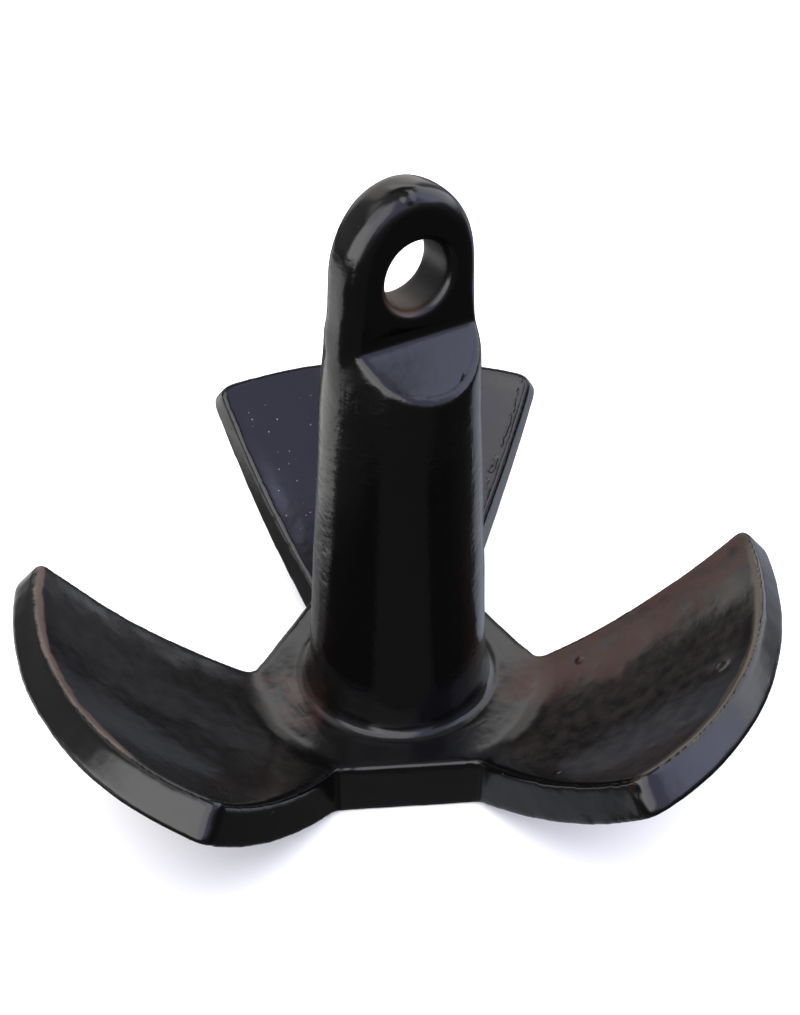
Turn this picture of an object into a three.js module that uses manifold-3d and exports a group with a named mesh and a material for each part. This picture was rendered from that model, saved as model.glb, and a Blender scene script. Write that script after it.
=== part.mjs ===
// A river anchor: one iron casting with a tapered round shank, a flat-sided eye and three
// cupped flukes, dipped in black vinyl. Millimetres, +Z up. The origin is the middle of the
// flat underside, the shank stands along +Z, and the bore of the eye runs along Y.

import * as THREE from 'three'
import { mergeVertices } from 'three/addons/utils/BufferGeometryUtils.js'
import Module from 'manifold-3d'

// Driving dimensions, all measured outside the coat.
const HEIGHT = 211.5

// The shank is a cone, which runs down to the underside inside the hub.
const SHANK_RADIUS = 33.2
const SHANK_TAPER = 0.0583 // radius lost for each millimetre of height
const SHANK_FILLET = 11

// The hub is a flat plate. Between the flukes it ends in straight walls.
const HUB_THICKNESS = 21.5

// The flukes are cut from one bowl around the shank: a root, a curve and a rim.
const FLUKES = 3
const FLUKE_TURN = 182.5 // degrees from +X to the first fluke
const ROOT = { reach: 44.2, halfWidth: 27.7 }
const ROOT_RADIUS = Math.hypot(ROOT.reach, ROOT.halfWidth)
const ROOT_BEND = 5 // half the length of the bend between hub and fluke
const INNER_RIM = { radius: 120.5, height: 79.6 }
const OUTER_RIM = { radius: 128.8, height: 71 }
const INNER_SLOPE = { root: 0.58, rim: 1.25 } // rise for each millimetre outwards
const UNDER_ROOT_RADIUS = 51 // where the underside starts to rise
const OUTER_SLOPE = { root: 0.62, rim: 1.32 }
const FLUKE_CORNER = { reach: 110.8, halfWidth: 65.7 }
const CORNER_ROUNDING = 4.5

// The eye is a slab with round edges. Two sloping shelves lead down from it to the cone.
const EYE = { thickness: 16.2, halfWidth: 22.2, edge: 5.5, foot: 129, footHalfWidth: 25.4 }
const BORE = { height: 185, radius: 11.9, rim: 0.9 }
const SHELF = { height: 165, slope: 0.81 }

// Smoothness of the round forms.
const TURN_STEPS = 96
const CURVE_STEPS = 10
const BORE_STEPS = 48

const wasm = await Module()
wasm.setup()

// A closed three.js geometry as a solid that can be joined and cut.
function solidOf(geometry) {
  geometry.deleteAttribute('normal')
  geometry.deleteAttribute('uv')
  const merged = mergeVertices(geometry, 1e-3)
  const index = merged.index.array
  const triangles = []
  for (let i = 0; i < index.length; i += 3) {
    const [a, b, c] = [index[i], index[i + 1], index[i + 2]]
    if (a !== b && b !== c && c !== a) triangles.push(a, b, c)
  }
  return new wasm.Manifold(new wasm.Mesh({
    numProp: 3,
    vertProperties: new Float32Array(merged.attributes.position.array),
    triVerts: new Uint32Array(triangles),
  }))
}

function geometryOf(solid) {
  const mesh = solid.getMesh()
  const geometry = new THREE.BufferGeometry()
  geometry.setAttribute('position', new THREE.BufferAttribute(mesh.vertProperties, 3))
  geometry.setIndex(new THREE.BufferAttribute(mesh.triVerts, 1))
  return geometry
}

// The fluke's curves are cubic, with a given rise at each end, drawn from one end to the other.
function addRise(path, from, fromSlope, to, toSlope) {
  const third = (to.x - from.x) / 3
  path.bezierCurveTo(
    from.x + third, from.y + third * fromSlope,
    to.x - third, to.y - third * toSlope,
    to.x, to.y,
  )
}

// Hub, bowl and shank in one section, turned about the shank's axis.
function turnedBody() {
  const shankRadius = (height) => SHANK_RADIUS - SHANK_TAPER * height
  const underRoot = new THREE.Vector2(UNDER_ROOT_RADIUS, 0)
  const outerRim = new THREE.Vector2(OUTER_RIM.radius, OUTER_RIM.height)
  const innerRim = new THREE.Vector2(INNER_RIM.radius, INNER_RIM.height)
  const bendEnd = new THREE.Vector2(
    ROOT_RADIUS + ROOT_BEND,
    HUB_THICKNESS + ROOT_BEND * INNER_SLOPE.root,
  )
  const shankFoot = shankRadius(HUB_THICKNESS)
  const filletTop = HUB_THICKNESS + SHANK_FILLET

  const section = new THREE.Path()
  section.moveTo(0, 0)
  section.lineTo(underRoot.x, underRoot.y)
  addRise(section, underRoot, OUTER_SLOPE.root, outerRim, OUTER_SLOPE.rim)
  section.lineTo(innerRim.x, innerRim.y)
  addRise(section, innerRim, INNER_SLOPE.rim, bendEnd, INNER_SLOPE.root)
  section.quadraticCurveTo(ROOT_RADIUS, HUB_THICKNESS, ROOT_RADIUS - ROOT_BEND, HUB_THICKNESS)
  section.lineTo(shankFoot + SHANK_FILLET, HUB_THICKNESS)
  section.quadraticCurveTo(shankFoot, HUB_THICKNESS, shankRadius(filletTop), filletTop)
  section.lineTo(shankRadius(BORE.height), BORE.height)
  section.lineTo(0, BORE.height)

  const turned = new THREE.LatheGeometry(section.getPoints(CURVE_STEPS), TURN_STEPS)
  return solidOf(turned.rotateX(Math.PI / 2))
}

// The plan of the casting: three flukes that widen outwards, joined by the hub's straight walls.
function planPrism() {
  const plan = new THREE.Shape()
  const cornerAngle = Math.atan2(FLUKE_CORNER.halfWidth, FLUKE_CORNER.reach)
  const endAngle = cornerAngle - CORNER_ROUNDING / OUTER_RIM.radius
  const root = new THREE.Vector2(ROOT.reach, ROOT.halfWidth)
  const corner = new THREE.Vector2(FLUKE_CORNER.reach, FLUKE_CORNER.halfWidth)
  const sideLength = root.distanceTo(corner)
  const sideEnd = corner.clone().lerp(root, CORNER_ROUNDING / sideLength)

  for (let i = 0; i < FLUKES; i++) {
    const turn = THREE.MathUtils.degToRad(FLUKE_TURN) + (i * 2 * Math.PI) / FLUKES
    const place = (point, side) =>
      new THREE.Vector2(point.x, side * point.y).rotateAround(new THREE.Vector2(), turn)
    const arcStart = new THREE.Vector2(OUTER_RIM.radius, 0)
      .rotateAround(new THREE.Vector2(), turn - endAngle)
    const start = place(root, -1)
    if (i === 0) plan.moveTo(start.x, start.y)
    else plan.lineTo(start.x, start.y)
    const near = place(sideEnd, -1)
    const nearCorner = place(corner, -1)
    const far = place(sideEnd, 1)
    const farCorner = place(corner, 1)
    const end = place(root, 1)
    plan.lineTo(near.x, near.y)
    plan.quadraticCurveTo(nearCorner.x, nearCorner.y, arcStart.x, arcStart.y)
    plan.absarc(0, 0, OUTER_RIM.radius, turn - endAngle, turn + endAngle, false)
    plan.quadraticCurveTo(farCorner.x, farCorner.y, far.x, far.y)
    plan.lineTo(end.x, end.y)
  }
  plan.closePath()
  return solidOf(new THREE.ExtrudeGeometry(plan, {
    depth: HEIGHT, bevelEnabled: false, curveSegments: CURVE_STEPS,
  }))
}

// What is cut away above the shelves, on both sides of the eye.
function shelfCut() {
  const reach = 2 * SHANK_RADIUS
  const half = EYE.thickness / 2
  const low = SHELF.height - SHELF.slope * (reach - half)
  const outline = new THREE.Shape()
  outline.moveTo(half, SHELF.height)
  outline.lineTo(reach, low)
  outline.lineTo(reach, 2 * HEIGHT)
  outline.lineTo(-reach, 2 * HEIGHT)
  outline.lineTo(-reach, low)
  outline.lineTo(-half, SHELF.height)
  outline.closePath()
  const block = new THREE.ExtrudeGeometry(outline, { depth: 2 * reach, bevelEnabled: false })
  block.translate(0, 0, -reach)
  return solidOf(block.rotateX(Math.PI / 2).rotateZ(Math.PI / 2))
}

// The eye's slab: sides that lean with the shank's, an arched top, and an edge rounded all
// the way round.
function eyeSlab() {
  const outline = new THREE.Shape()
  outline.moveTo(EYE.footHalfWidth, EYE.foot)
  outline.lineTo(EYE.halfWidth, BORE.height)
  outline.absellipse(0, BORE.height, EYE.halfWidth, HEIGHT - BORE.height, 0, Math.PI, false, 0)
  outline.lineTo(-EYE.footHalfWidth, EYE.foot)
  outline.closePath()
  const flat = EYE.thickness - 2 * EYE.edge
  const slab = new THREE.ExtrudeGeometry(outline, {
    depth: flat,
    bevelThickness: EYE.edge,
    bevelSize: EYE.edge,
    bevelOffset: -EYE.edge,
    bevelSegments: 5,
    curveSegments: 2 * CURVE_STEPS,
  })
  slab.translate(0, 0, -flat / 2)
  return solidOf(slab.rotateX(Math.PI / 2))
}

// The bore, with a rounded rim where it meets each face of the eye.
function boreCut() {
  const face = EYE.thickness / 2
  const wide = BORE.radius + BORE.rim
  const section = new THREE.Path()
  section.moveTo(0, -EYE.thickness)
  section.lineTo(wide, -EYE.thickness)
  section.lineTo(wide, -face)
  section.quadraticCurveTo(BORE.radius, -face, BORE.radius, BORE.rim - face)
  section.lineTo(BORE.radius, face - BORE.rim)
  section.quadraticCurveTo(BORE.radius, face, wide, face)
  section.lineTo(wide, EYE.thickness)
  section.lineTo(0, EYE.thickness)
  const cut = new THREE.LatheGeometry(section.getPoints(CURVE_STEPS / 2), BORE_STEPS)
  return solidOf(cut.translate(0, 0, BORE.height))
}

// Black vinyl over the whole casting.
const vinyl = new THREE.MeshStandardMaterial({
  color: 0x17181a, roughness: 0.38, metalness: 0, flatShading: true,
})

const casting = turnedBody()
  .intersect(planPrism())
  .subtract(shelfCut())
  .add(eyeSlab())
  .subtract(boreCut())

const anchorCasting = new THREE.Mesh(geometryOf(casting), vinyl)
anchorCasting.name = 'anchor_casting'

const anchor = new THREE.Group()
anchor.add(anchorCasting)
export default anchor
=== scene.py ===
# A black vinyl-coated river anchor: one iron casting with a round shank, a flat-sided eye and
# three cupped flukes, all under one skin of vinyl. Lengths are in metres.

import math

import bpy
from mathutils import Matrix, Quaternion, Vector


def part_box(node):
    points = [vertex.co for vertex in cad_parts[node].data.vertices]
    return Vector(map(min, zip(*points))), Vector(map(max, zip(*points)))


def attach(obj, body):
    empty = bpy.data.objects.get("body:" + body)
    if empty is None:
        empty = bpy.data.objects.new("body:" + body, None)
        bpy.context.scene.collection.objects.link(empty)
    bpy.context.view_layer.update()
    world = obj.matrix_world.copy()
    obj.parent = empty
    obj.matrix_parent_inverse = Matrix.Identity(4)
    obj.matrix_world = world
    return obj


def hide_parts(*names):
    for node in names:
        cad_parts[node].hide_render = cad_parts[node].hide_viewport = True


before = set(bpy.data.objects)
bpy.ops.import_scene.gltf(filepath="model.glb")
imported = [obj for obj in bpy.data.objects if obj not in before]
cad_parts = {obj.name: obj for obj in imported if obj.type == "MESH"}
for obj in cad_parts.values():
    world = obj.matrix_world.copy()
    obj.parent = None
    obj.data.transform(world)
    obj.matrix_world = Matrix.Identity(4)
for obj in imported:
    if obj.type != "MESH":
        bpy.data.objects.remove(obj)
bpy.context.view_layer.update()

bpy.ops.object.select_all(action="DESELECT")
scene = bpy.context.scene
scene.view_settings.view_transform = "Standard"
mm = 0.001

# The view. The camera stands in front of the anchor and to the left of the eye's flat face, and
# looks down on it, leaning by less than a degree.
camera_place = Vector((-0.1869, -0.2900, 0.3668))
camera_aim = Vector((0.0002, -0.0002, 0.0967))
camera_lean = math.radians(0.735)
bpy.ops.object.camera_add(location=camera_place)
camera = bpy.context.object
camera.name = "view"
gaze = (camera_aim - camera_place).to_track_quat("-Z", "Y")
camera.rotation_euler = (gaze @ Quaternion((0, 0, 1), camera_lean)).to_euler()
camera.data.lens = 47.0
camera.data.sensor_width = 36.0
camera.data.clip_start = 0.01
scene.camera = camera

# The light. Wide soft panels stand all round at a great distance: bright ones in front on the
# left, behind and low down behind, bluish ones on the right. The ground in front is dark.


class Link:
    """A socket that takes part in sums: value * 2 + other adds the Math nodes."""

    def __init__(self, shop, socket):
        self.shop = shop
        self.socket = socket

    def __add__(self, other):
        return self.shop.maths("ADD", self, other)

    def __sub__(self, other):
        return self.shop.maths("SUBTRACT", self, other)

    def __rsub__(self, other):
        return self.shop.maths("SUBTRACT", other, self)

    def __mul__(self, other):
        return self.shop.maths("MULTIPLY", self, other)

    def __truediv__(self, other):
        return self.shop.maths("DIVIDE", self, other)

    def __pow__(self, other):
        return self.shop.maths("POWER", self, other)

    def __abs__(self):
        return self.shop.maths("ABSOLUTE", self)

    __radd__ = __add__
    __rmul__ = __mul__


class Shop:
    """One node tree, and the one way in which its nodes are made."""

    def __init__(self, tree):
        self.tree = tree

    def node(self, kind, settings=None, values=None, out=0):
        """Adds a node with its settings and inputs, and gives back one of its outputs."""
        made = self.tree.nodes.new(kind)
        for key, value in (settings or {}).items():
            setattr(made, key, value)
        pairs = values.items() if isinstance(values, dict) else enumerate(values or [])
        for key, value in pairs:
            if isinstance(value, Link):
                self.tree.links.new(value.socket, made.inputs[key])
            else:
                made.inputs[key].default_value = value
        return Link(self, made.outputs[out]) if made.outputs else made

    def maths(self, operation, *values):
        return self.node("ShaderNodeMath", {"operation": operation}, values)

    def step(self, value, low, high):
        """0 below low, 1 above high, and a smooth rise between them."""
        return self.node("ShaderNodeMapRange", {"interpolation_type": "SMOOTHSTEP"},
                         {"Value": value, "From Min": low, "From Max": high})

    def blend(self, mask, first, second):
        """A colour between first and second."""
        return self.node("ShaderNodeMix", {"data_type": "RGBA"},
                         {0: mask, 6: first, 7: second}, out=2)


world = bpy.data.worlds.new("studio")
scene.world = world
world.use_nodes = True
world.node_tree.nodes.clear()
sky = Shop(world.node_tree)
towards = sky.node("ShaderNodeTexCoord")  # Generated is the way the ray goes
aim_x, aim_y, aim_z = (sky.node("ShaderNodeSeparateXYZ", None, [towards], out=i)
                       for i in range(3))
degree = math.pi / 180
elevation = sky.maths("ARCSINE", aim_z) / degree
heading = sky.maths("ARCTAN2", aim_y, aim_x) / degree


def panel(azimuth, left, right, low, high, lean=0.0, slant=(0.0, 0.0), soft=14.0):
    """1 inside a panel of light and 0 outside, all in degrees. Azimuth is counted from +X, left
    and right from there. The low edge leans, and the two sides slant."""
    bearing = sky.maths("WRAP", heading - azimuth, 180.0, -180.0)
    half = soft / 2
    near_left = bearing - elevation * slant[0] if slant[0] else bearing
    near_right = bearing - elevation * slant[1] if slant[1] else bearing
    near_low = elevation - bearing * lean if lean else elevation
    mask = sky.step(near_left, left - half, left + half)
    mask *= 1 - sky.step(near_right, right - half, right + half)
    mask *= sky.step(near_low, low - half, low + half)
    return mask * (1 - sky.step(elevation, high - half, high + half))


def colour(red, green, blue):
    return (red, green, blue, 1)


ground_grey, air_grey = colour(0.09, 0.09, 0.09), colour(0.3, 0.3, 0.3)
light = sky.blend(sky.step(elevation, -10, 8), ground_grey, air_grey)
panels = [  # a later panel covers an earlier one
    # The ground: dark on the right, grey in front and behind, bright far behind.
    (panel(-20, -55, 52, -91, -14, soft=12), colour(0.045, 0.045, 0.045)),
    (panel(-123, -75, 50, -91, -47, soft=6), colour(0.16, 0.16, 0.16)),
    (panel(115, -78, 30, -91, -45, soft=6), colour(0.31, 0.32, 0.36)),
    (panel(115, -78, 74, -48, -35, slant=(0, 2.0), soft=6), colour(0.27, 0.27, 0.28)),
    (panel(115, -24, 88, -35, -12, slant=(0, 2.0), soft=6), colour(1.15, 1.15, 1.13)),
    (panel(35, -6, 40, -36, -4, soft=10), colour(0.16, 0.17, 0.2)),
    (panel(35, -38, -2, -45, -4, soft=8), colour(0.52, 0.55, 0.64)),
    # Behind the anchor: pale panels, and a dark one above them.
    (panel(137, -25, 20, 42, 66), colour(1.1, 1.1, 1.1)),
    (panel(75, -32, 27, 0, 50), colour(1.2, 1.15, 1.1)),
    (panel(45, -34, 32, 38, 52, soft=5), colour(2.3, 2.25, 2.25)),
    (panel(57, -28, 30, 47.5, 66, soft=2.5), colour(0.04, 0.04, 0.045)),
    # On the right, from the back to the front.
    (panel(-13, -14, 34, 2, 56), colour(2.1, 2.15, 2.35)),
    (panel(-40, -14, 14, 8, 58, soft=8), colour(1.9, 2.0, 2.8)),
    (panel(-80, -28, 29, 11, 70), colour(0.93, 0.9, 1.4)),
    # In front and on the left.
    (panel(-128, -24, 32, 8, 72, lean=0.7), colour(2.8, 2.8, 2.95)),
    (panel(-178, -34, 38, 2, 68, slant=(0.6, 0)), colour(3.4, 3.4, 3.45)),
    (panel(-168, -30, 28, 42, 72), colour(2.35, 2.3, 2.6)),
]
for mask, tint in panels:
    light = sky.blend(mask, light, tint)
background = sky.node("ShaderNodeBackground", None, {"Color": light, "Strength": 1.0})
sky.node("ShaderNodeOutputWorld", None, {"Surface": background})

# The floor is a pale sheet. It is left out of reflections, as a black card in front of a glossy
# black object would do. A round lamp above, which is not reflected either, keeps it white.
bpy.ops.mesh.primitive_plane_add(size=40, location=(0, 0, 0))
floor = bpy.context.object
floor.name = "floor"
floor.visible_glossy = False
floor.visible_diffuse = False
pale = bpy.data.materials.new("pale_floor")
pale.use_nodes = True
sheet = pale.node_tree.nodes["Principled BSDF"]
sheet.inputs["Base Color"].default_value = colour(0.8, 0.8, 0.8)
sheet.inputs["Roughness"].default_value = 0.9
floor.data.materials.append(pale)
bpy.ops.object.light_add(type="AREA", location=(0, 0, 1.6))
fill = bpy.context.object
fill.name = "floor_fill"
fill.data.shape = "DISK"
fill.data.size = 2.4
fill.data.energy = 55
fill.visible_glossy = False

# The casting's body: the hub, the bowl that the flukes are cut from, and the tapered shank are
# one turned form. It is cast iron, poured in one piece with everything below.
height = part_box("anchor_casting")[1].z
shank_radius = 33.2 * mm
shank_taper = 0.0583
shank_fillet = 6 * mm
hub_thickness = 21.5 * mm
root_radius = 52.2 * mm
root_bend = 5 * mm
under_root_radius = 51 * mm
inner_rim = Vector((120.5 * mm, 0, 79.6 * mm))
outer_rim = Vector((128.8 * mm, 0, 71 * mm))
inner_slope = (0.58, 1.25)
outer_slope = (0.62, 1.32)
rim_allowance = 2.5 * mm  # the bowl is turned this much too wide, and trimmed with the flukes
fairing_foot = 158 * mm  # from here the shank closes in until the eye has swallowed it
fairing_top = Vector((18.6 * mm, 0, 187 * mm))
curve_steps = 14
turn_steps = 144


def rise(start, start_slope, end, end_slope, steps):
    """Points of a cubic curve in the plane of the section, with a given slope at each end."""
    run = end.x - start.x
    points = []
    for i in range(1, steps + 1):
        t = i / steps
        z = (start.z * (1 + 2 * t) * (1 - t) ** 2 + run * start_slope * t * (1 - t) ** 2
             + end.z * t * t * (3 - 2 * t) - run * end_slope * t * t * (1 - t))
        points.append(Vector((start.x + run * t, 0, z)))
    return points


def corner(start, tip, end, steps):
    """Points of a round corner from start to end, pulled towards the tip."""
    ts = [i / steps for i in range(1, steps + 1)]
    return [start * (1 - t) ** 2 + tip * 2 * t * (1 - t) + end * t * t for t in ts]


def draw(points, name):
    """Draws an outline by hand: one point, extruded from place to place."""
    bpy.ops.mesh.primitive_plane_add(size=mm, location=(0, 0, 0))
    shape = bpy.context.object
    shape.name = name
    bpy.ops.object.mode_set(mode="EDIT")
    bpy.ops.mesh.select_all(action="SELECT")
    bpy.ops.mesh.merge(type="CENTER")
    bpy.ops.transform.translate(value=points[0])
    for here, there in zip(points, points[1:]):
        bpy.ops.mesh.extrude_region_move(TRANSFORM_OT_translate={"value": there - here})
    return shape


def close_mesh():
    """Merges doubles, turns the faces outwards and leaves edit mode."""
    bpy.ops.mesh.select_all(action="SELECT")
    bpy.ops.mesh.remove_doubles(threshold=0.02 * mm)
    bpy.ops.mesh.normals_make_consistent(inside=False)
    bpy.ops.object.mode_set(mode="OBJECT")


def shank_at(z):
    return Vector((shank_radius - shank_taper * z, 0, z))


under_root = Vector((under_root_radius, 0, 0))
bend_end = Vector((root_radius + root_bend, 0, hub_thickness + root_bend * inner_slope[0]))
bend_tip = Vector((root_radius, 0, hub_thickness))
bend_start = Vector((root_radius - root_bend, 0, hub_thickness))
foot_tip = shank_at(hub_thickness)
foot_start = foot_tip + Vector((shank_fillet, 0, 0))
foot_end = shank_at(hub_thickness + shank_fillet)
outer_end = outer_rim + Vector((rim_allowance, 0, rim_allowance * outer_slope[1]))
inner_end = inner_rim + Vector((rim_allowance, 0, rim_allowance * inner_slope[1]))

section = [Vector((0, 0, 0)), under_root]
section += rise(under_root, outer_slope[0], outer_rim, outer_slope[1], curve_steps)
section += [outer_end, inner_end, inner_rim]
section += rise(inner_rim, inner_slope[1], bend_end, inner_slope[0], curve_steps)
section += corner(bend_end, bend_tip, bend_start, 5)
section += [foot_start]
section += corner(foot_start, foot_tip, foot_end, 8)
section += [shank_at(fairing_foot), fairing_top, Vector((0, 0, fairing_top.z))]
casting = draw(section, "coated_casting")
bpy.ops.mesh.select_all(action="SELECT")
bpy.ops.mesh.spin(steps=turn_steps, angle=math.tau, center=(0, 0, 0), axis=(0, 0, 1))
close_mesh()

# The flukes are what is left of the bowl when its plan is trimmed: three wings that widen
# outwards, with round corners at their tips, and the hub's short straight walls between them.
flukes = 3
fluke_turn = math.radians(182.5)
root_corner = Vector((44.2 * mm, 27.7 * mm, 0))
tip_corner = Vector((110.2 * mm, 66.7 * mm, 0))
tip_rounding = 7 * mm
notch_fillet = 3 * mm
trim_low, trim_high = 62 * mm, 90 * mm
rim_lean = (outer_rim.x - inner_rim.x) / (inner_rim.z - outer_rim.z)
end_low = outer_rim.x + (outer_rim.z - trim_low) * rim_lean
end_high = outer_rim.x - (trim_high - outer_rim.z) * rim_lean


def around(reach, angle):
    return Vector((reach * math.cos(angle), reach * math.sin(angle), 0))


def mirrored(point):
    return Vector((point.x, -point.y, point.z))


side = (tip_corner - root_corner).normalized()
along = side.dot(root_corner)
reach = -along + math.sqrt(along ** 2 - root_corner.length_squared + end_low ** 2)
end_corner = root_corner + side * reach
side_stop = end_corner - side * tip_rounding
end_angle = math.atan2(end_corner.y, end_corner.x) - tip_rounding / end_low
next_corner = Quaternion((0, 0, 1), math.tau / flukes) @ mirrored(root_corner)
wall_start = root_corner + (next_corner - root_corner).normalized() * notch_fillet
half = [wall_start]
half += corner(wall_start, root_corner, root_corner + side * notch_fillet, 4)
half += [side_stop]
half += corner(side_stop, end_corner, around(end_low, end_angle), 6)
half += [around(end_low, end_angle * (1 - i / 8)) for i in range(1, 9)]
wing = [mirrored(p) for p in half] + half[-2::-1]
plan = []
for i in range(flukes):
    turn = Quaternion((0, 0, 1), fluke_turn + i * math.tau / flukes)
    plan += [turn @ p for p in wing]
below = Vector((0, 0, -10 * mm))
trim = draw([p + below for p in plan], "trim")
bpy.ops.mesh.select_all(action="SELECT")
bpy.ops.mesh.edge_face_add()
bpy.ops.mesh.extrude_region_move(TRANSFORM_OT_translate={"value": (0, 0, trim_low - below.z)})
bpy.ops.mesh.extrude_region_move(TRANSFORM_OT_translate={"value": (0, 0, trim_high - trim_low)})
taper = end_high / end_low
bpy.ops.transform.resize(value=(taper, taper, 1), center_override=(0, 0, 0))
bpy.ops.mesh.extrude_region_move(TRANSFORM_OT_translate={"value": (0, 0, height)})
close_mesh()


def combine(body, tool, operation):
    """Joins or cuts the body with a tool, which is then thrown away."""
    step = body.modifiers.new("step", "BOOLEAN")
    step.object = tool
    step.operation = operation
    step.solver = "EXACT"
    bpy.context.view_layer.objects.active = body
    bpy.ops.object.modifier_apply(modifier=step.name)
    bpy.data.objects.remove(tool)


combine(casting, trim, "INTERSECT")

# The eye at the head of the shank: a slab with flat faces and round edges, sides that lean with
# the shank's, an arched top and a bore for a shackle. Two shelves slope down from its faces.
eye_thickness = 16.2 * mm
eye_edge = 5.5 * mm
eye_half_width = 22.2 * mm
eye_foot = Vector((25.4 * mm, 0, 129 * mm))
shelf_height = 165 * mm
shelf_slope = 0.81
bore_height = 185 * mm
bore_radius = 11.1 * mm
bore_offset = 0.8 * mm
bore_rim = 1.4 * mm
block = 80 * mm
face = eye_thickness / 2


def select_points(shape, test):
    """Selects, in edit mode, only the points that pass the test."""
    bpy.ops.mesh.select_mode(type="VERT")
    bpy.ops.mesh.select_all(action="DESELECT")
    bpy.ops.object.mode_set(mode="OBJECT")
    for vertex in shape.data.vertices:
        vertex.select = test(vertex.co)
    bpy.ops.object.mode_set(mode="EDIT")


for facing in (-1, 1):
    middle = (0, facing * (face + block / 2), shelf_height + block / 2)
    bpy.ops.mesh.primitive_cube_add(size=block, location=middle)
    bpy.ops.object.transform_apply(location=True)
    shelf = bpy.context.object
    bpy.ops.object.mode_set(mode="EDIT")
    select_points(shelf, lambda p: abs(p.y) > block / 2 and p.z < shelf_height + mm)
    bpy.ops.transform.translate(value=(0, 0, -shelf_slope * block))
    close_mesh()
    combine(casting, shelf, "DIFFERENCE")

arch = [eye_foot]
for i in range(1, 32):
    angle = math.pi * i / 32
    arch.append(Vector((eye_half_width * math.cos(angle), 0,
                        bore_height + (height - bore_height) * math.sin(angle))))
arch += [Vector((-eye_foot.x, 0, eye_foot.z))]
eye = draw([p + Vector((0, -face, 0)) for p in arch], "eye")
bpy.ops.mesh.select_all(action="SELECT")
bpy.ops.mesh.edge_face_add()
bpy.ops.mesh.extrude_region_move(TRANSFORM_OT_translate={"value": (0, eye_thickness, 0)})
close_mesh()
rounding = eye.modifiers.new("rounding", "BEVEL")
rounding.width = eye_edge
rounding.segments = 6
rounding.limit_method = "ANGLE"
rounding.angle_limit = math.radians(60)
bpy.context.view_layer.objects.active = eye
bpy.ops.object.modifier_apply(modifier="rounding")
combine(casting, eye, "UNION")

waist = face - bore_rim  # half the length of the straight part, past which the bore opens out
mouth = bore_radius + block - face
cutter = [Vector((0, 0, -block)), Vector((mouth, 0, -block)), Vector((bore_radius, 0, -waist)),
          Vector((bore_radius, 0, waist)), Vector((mouth, 0, block)), Vector((0, 0, block))]
bore = draw(cutter, "bore")
bpy.ops.mesh.select_all(action="SELECT")
bpy.ops.mesh.spin(steps=64, angle=math.tau, center=(0, 0, 0), axis=(0, 0, 1))
close_mesh()
bore.rotation_euler = (math.pi / 2, 0, 0)
bore.location = (bore_offset, 0, bore_height)
bpy.ops.object.transform_apply(location=True, rotation=True)
combine(casting, bore, "DIFFERENCE")

# The coat: the hot casting is dipped in liquid vinyl, which rounds every edge and leaves the
# skin a little uneven, with a few drips and lumps where it gathered.
coat_swell = 0.35 * mm
rounding_passes = 44
kept_share = 0.17  # of the triangles, when the flat places are made coarser
waves = ((24 * mm, 0.5 * mm), (9 * mm, 0.16 * mm))  # length and height of the unevenness


def apply_modifier(shape, kind, settings):
    """Adds a modifier, sets it and applies it."""
    step = shape.modifiers.new("step", kind)
    for key, value in settings.items():
        setattr(step, key, value)
    bpy.context.view_layer.objects.active = shape
    bpy.ops.object.modifier_apply(modifier=step.name)


def pull(shape, place, shift, reach, falloff="SMOOTH"):
    """Grabs the skin at a place and pulls it, and the skin within reach follows."""
    place = Vector(place) * mm
    nearest = min((v.co for v in shape.data.vertices), key=lambda p: (p - place).length_squared)
    nearest = nearest.copy()
    bpy.ops.object.mode_set(mode="EDIT")
    select_points(shape, lambda p: p == nearest)
    bpy.ops.transform.translate(value=Vector(shift) * mm, use_proportional_edit=True,
                                proportional_edit_falloff=falloff,
                                proportional_size=reach * mm)
    bpy.ops.object.mode_set(mode="OBJECT")


apply_modifier(casting, "REMESH", {"mode": "SMOOTH", "octree_depth": 9, "scale": 0.92,
                                   "use_remove_disconnected": True})
apply_modifier(casting, "SMOOTH", {"factor": 0.5, "iterations": rounding_passes})
apply_modifier(casting, "DECIMATE", {"ratio": kept_share})
pulls = [
    ((-19.5, -12, 162), (1.4, 1.0, 0.0), 17, "SMOOTH"),  # where the shank was dressed flat
    ((-21.0, 8.5, 167), (-0.8, 0.5, 0.0), 9, "SMOOTH"),  # the eye runs out into the shank
    ((-19.8, 13.0, 157), (0.5, -0.3, 0.0), 12, "SMOOTH"),
    ((61.6, -93.8, 69.9), (-0.2, 0.25, 0.3), 7.0, "SMOOTH"),  # lump in the second fluke
    ((4.5, -121.3, 70.0), (-0.5, -0.3, 0.4), 5.0, "SMOOTH"),  # runs at two near corners
    ((-104.5, -66.6, 68.3), (0.5, 0.5, -0.5), 4.5, "SMOOTH"),
]
for place, shift, reach, falloff in pulls:
    pull(casting, place, shift, reach, falloff)
for size, swing in waves:
    unevenness = bpy.data.textures.new("unevenness", "CLOUDS")
    unevenness.noise_scale = size
    unevenness.noise_depth = 1
    apply_modifier(casting, "DISPLACE", {"texture": unevenness, "texture_coords": "LOCAL",
                                         "strength": swing, "mid_level": 0.5})
apply_modifier(casting, "DISPLACE", {"strength": coat_swell, "mid_level": 0.0})
bpy.ops.object.select_all(action="DESELECT")
casting.select_set(True)
bpy.ops.object.shade_smooth()

# The vinyl: near black and glossy, rippled on the shank, with painted brown reflections, brown
# patches, a painted highlight along two rims, fine cracks by one edge and a few pale specks.
vinyl = bpy.data.materials.new("black_vinyl")
vinyl.use_nodes = True
vinyl.node_tree.nodes.clear()
shop = Shop(vinyl.node_tree)
place = shop.node("ShaderNodeTexCoord", None, None, out=3)
x, y, z = (shop.node("ShaderNodeSeparateXYZ", None, [place], out=i) / mm for i in range(3))


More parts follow.
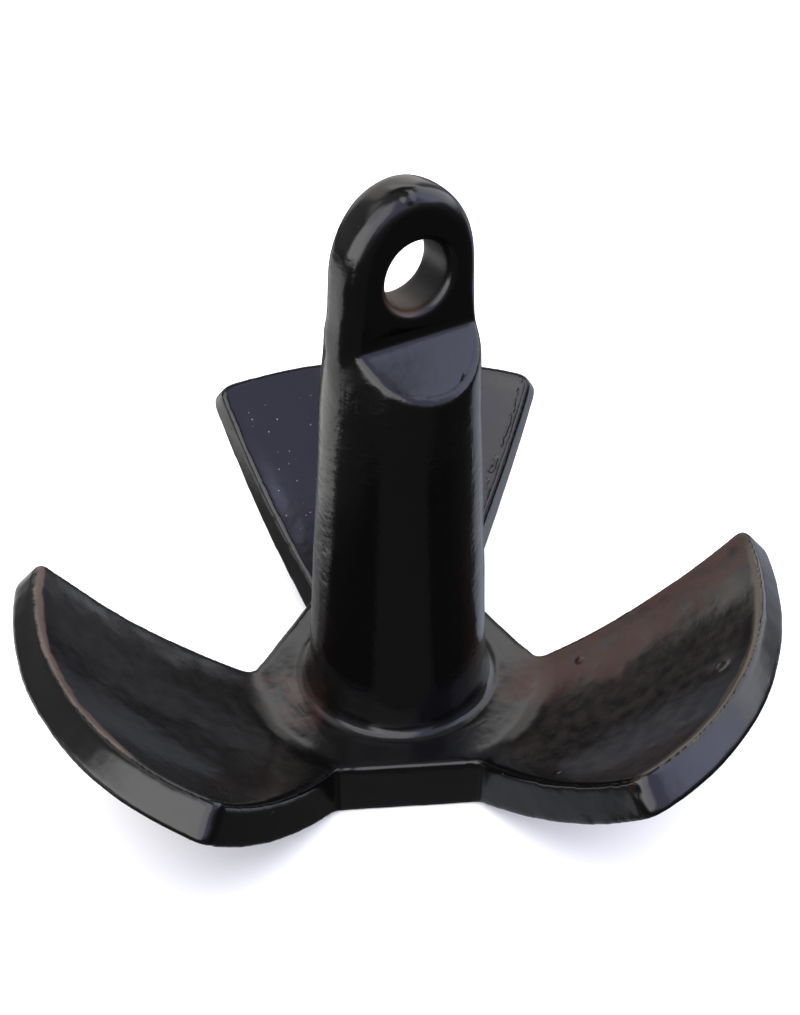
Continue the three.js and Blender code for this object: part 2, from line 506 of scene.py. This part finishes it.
def noise(cell, detail=2.0, stretch=(1, 1, 1), offset=0.0):
    """Soft noise from about 0.25 to 0.75, with cells of a given size in millimetres."""
    squeezed = shop.node("ShaderNodeMapping", None,
                         {"Vector": place, "Location": (offset, 0, 0),
                          "Scale": [1 / (cell * mm * k) for k in stretch]})
    return shop.node("ShaderNodeTexNoise", None,
                     {"Vector": squeezed, "Scale": 1.0, "Detail": detail})


def fluke_frame(angle):
    """Distance out along a fluke, and across it, in millimetres."""
    east, north = math.cos(angle), math.sin(angle)
    return x * east + y * north, y * east - x * north


def inside_edge(outwards, across):
    """Distance from a fluke's nearest side edge, counted across the fluke, in millimetres."""
    half_width = root_corner.y / mm + (outwards - root_corner.x / mm) * (side.y / side.x)
    return half_width - abs(across)


def between(value, low, high, soft):
    """1 from low to high, with soft ends."""
    return (shop.step(value, low - soft, low + soft)
            * (1 - shop.step(value, high - soft, high + soft)))


def spot(east, north, up, core, reach):
    """1 within core millimetres of a place, and 0 beyond reach."""
    off = shop.node("ShaderNodeVectorMath", {"operation": "DISTANCE"},
                    [place, (east * mm, north * mm, up * mm)], out=1)
    return 1 - shop.step(off, core * mm, reach * mm)


radius = (x * x + y * y) ** 0.5
first_out, first_across = fluke_frame(fluke_turn)
second_out, second_across = fluke_frame(fluke_turn + math.tau / flukes)
third_out, third_across = fluke_frame(fluke_turn + 2 * math.tau / flukes)
off_cone = radius + z * shank_taper - shank_radius / mm
on_shank = between(off_cone, -1.5, 1.8, 0.6) * shop.step(z, 28, 36)
blotches = noise(9, 2.0)
grain = noise(3.2, 3.0, (1, 1, 0.7), 7.0)

# Painted brown reflection on the far half of the second fluke, broken into blotches.
black = colour(0.0016, 0.0016, 0.0017)
brown_reflection = colour(0.021, 0.0085, 0.0065)
border = shop.maths("MAXIMUM", (second_out - 40) * 0.25, second_out - 64)
second_reflection = shop.step(second_across - border + (noise(16, 3.0) - 0.5) * 34, -4, 8)
second_reflection *= shop.step(second_out, 33, 46) * (1 - shop.step(radius, 117, 121))
second_reflection *= shop.step(blotches, 0.3, 0.55) * 0.75 + 0.25
base = shop.blend(second_reflection, black, brown_reflection)
# Brown patches at the root of the first fluke, and a painted brown reflection low in the bore.
first_root_brown = between(first_out, 33, 46, 5) * between(first_across, -24, 6, 5)
first_root_brown *= shop.step(blotches, 0.42, 0.6)
base = shop.blend(first_root_brown, base, colour(0.02, 0.008, 0.007))
in_bore = (x * x + (z - bore_height / mm) ** 2) ** 0.5
bore_reflection = (1 - shop.step(in_bore, 11.5, 12.6)) * (1 - shop.step(z + x * 0.7, 171, 180))
base = shop.blend(bore_reflection, base, colour(0.027, 0.014, 0.0075))
# A pale brown painted highlight along the rounded inner edge of the two front rims.
rim_highlight = between(radius + (noise(12, 2.0) - 0.5) * 3, 118.2, 120.4, 0.5) * shop.step(z, 60, 70)
first_rim_highlight = rim_highlight * between(first_across, -70, 32, 5) * shop.step(first_out, 60, 70)
second_rim_highlight = rim_highlight * between(second_across, -60, 55, 5) * shop.step(second_out, 60, 70)
base = shop.blend(first_rim_highlight, base, colour(0.055, 0.037, 0.031))
base = shop.blend(second_rim_highlight * 0.8, base, colour(0.03, 0.021, 0.014))

# A faint brown haze in the bowls of the two front flukes, and pale specks on the third.
haze = shop.step(noise(5, 4.0, offset=5.0), 0.24, 0.74) * shop.step(radius, 50, 62)
haze *= 1 - shop.step(radius, 112, 119)
from_first_edge = inside_edge(first_out, first_across)
from_second_edge = inside_edge(second_out, second_across)
from_third_edge = inside_edge(third_out, third_across)
haze *= (shop.step(from_first_edge, 2, 12) * shop.step(first_out, 20, 40) * 0.35
         + shop.step(from_second_edge, 2, 12) * shop.step(second_out, 20, 40) * 0.8)
base = shop.blend(haze * (1 - second_reflection), base, colour(0.014, 0.011, 0.01))
speck_spacing = 3.4
dots = shop.node("ShaderNodeTexVoronoi", None,
                 {"Vector": place, "Scale": 1 / (speck_spacing * mm)}) * speck_spacing
specks = (1 - shop.step(dots, 0.2, 0.42)) * shop.step(noise(10, 1.0, offset=9.0), 0.36, 0.44)
specks *= shop.step(third_across, 22, 30) * shop.step(third_out, 55, 70)
specks *= (1 - shop.step(radius, 110, 116)) * shop.step(from_third_edge, 3, 5)
base = shop.blend(specks, base, colour(0.13, 0.12, 0.13))

# Relief: a rippled shank, a drip at the head of the eye, a few lumps, and cracks by one edge.
cracks = between(from_third_edge + (noise(9, 2.0, offset=2.0) - 0.5) * 8, 4.3, 5.4, 0.5)
cracks *= 1 - shop.step(third_across, -30, -20)
cracks *= between(third_out, 76, 106, 6) * shop.step(blotches, 0.45, 0.52)
ripple = noise(5.5, 3.0, (1, 1, 0.45), 3.0)
relief = blotches * 0.10 + grain * (on_shank * 0.07 + 0.03) + ripple * on_shank * 0.11
relief += spot(-2.5, -6.1, 209.7, 0.3, 2.7) * 0.45
relief += spot(53.8, -38.0, 29.8, 0.4, 2.2) * 0.5 + spot(6.7, -83.6, 42.7, 0.3, 1.8) * 0.5
relief += spot(61.6, -93.8, 69.9, 1.6, 4.0) * 0.25 - spot(61.6, -93.8, 69.9, 0.4, 2.4) * 0.3
relief = relief - cracks * 0.22
bump = shop.node("ShaderNodeBump", None, {"Strength": 1.0, "Distance": mm, "Height": relief})
roughness = blotches * 0.1 + 0.12 + second_reflection * 0.12 + first_rim_highlight * 0.2
roughness += (1 - shop.step(in_bore, 11.2, 12.2)) * 0.3
skin = shop.node("ShaderNodeBsdfPrincipled", None,
                 {"Base Color": base, "Roughness": roughness, "Normal": bump})
shop.node("ShaderNodeOutputMaterial", None, {"Surface": skin})
casting.data.materials.clear()
casting.data.materials.append(vinyl)
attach(casting, "root")
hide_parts("anchor_casting")
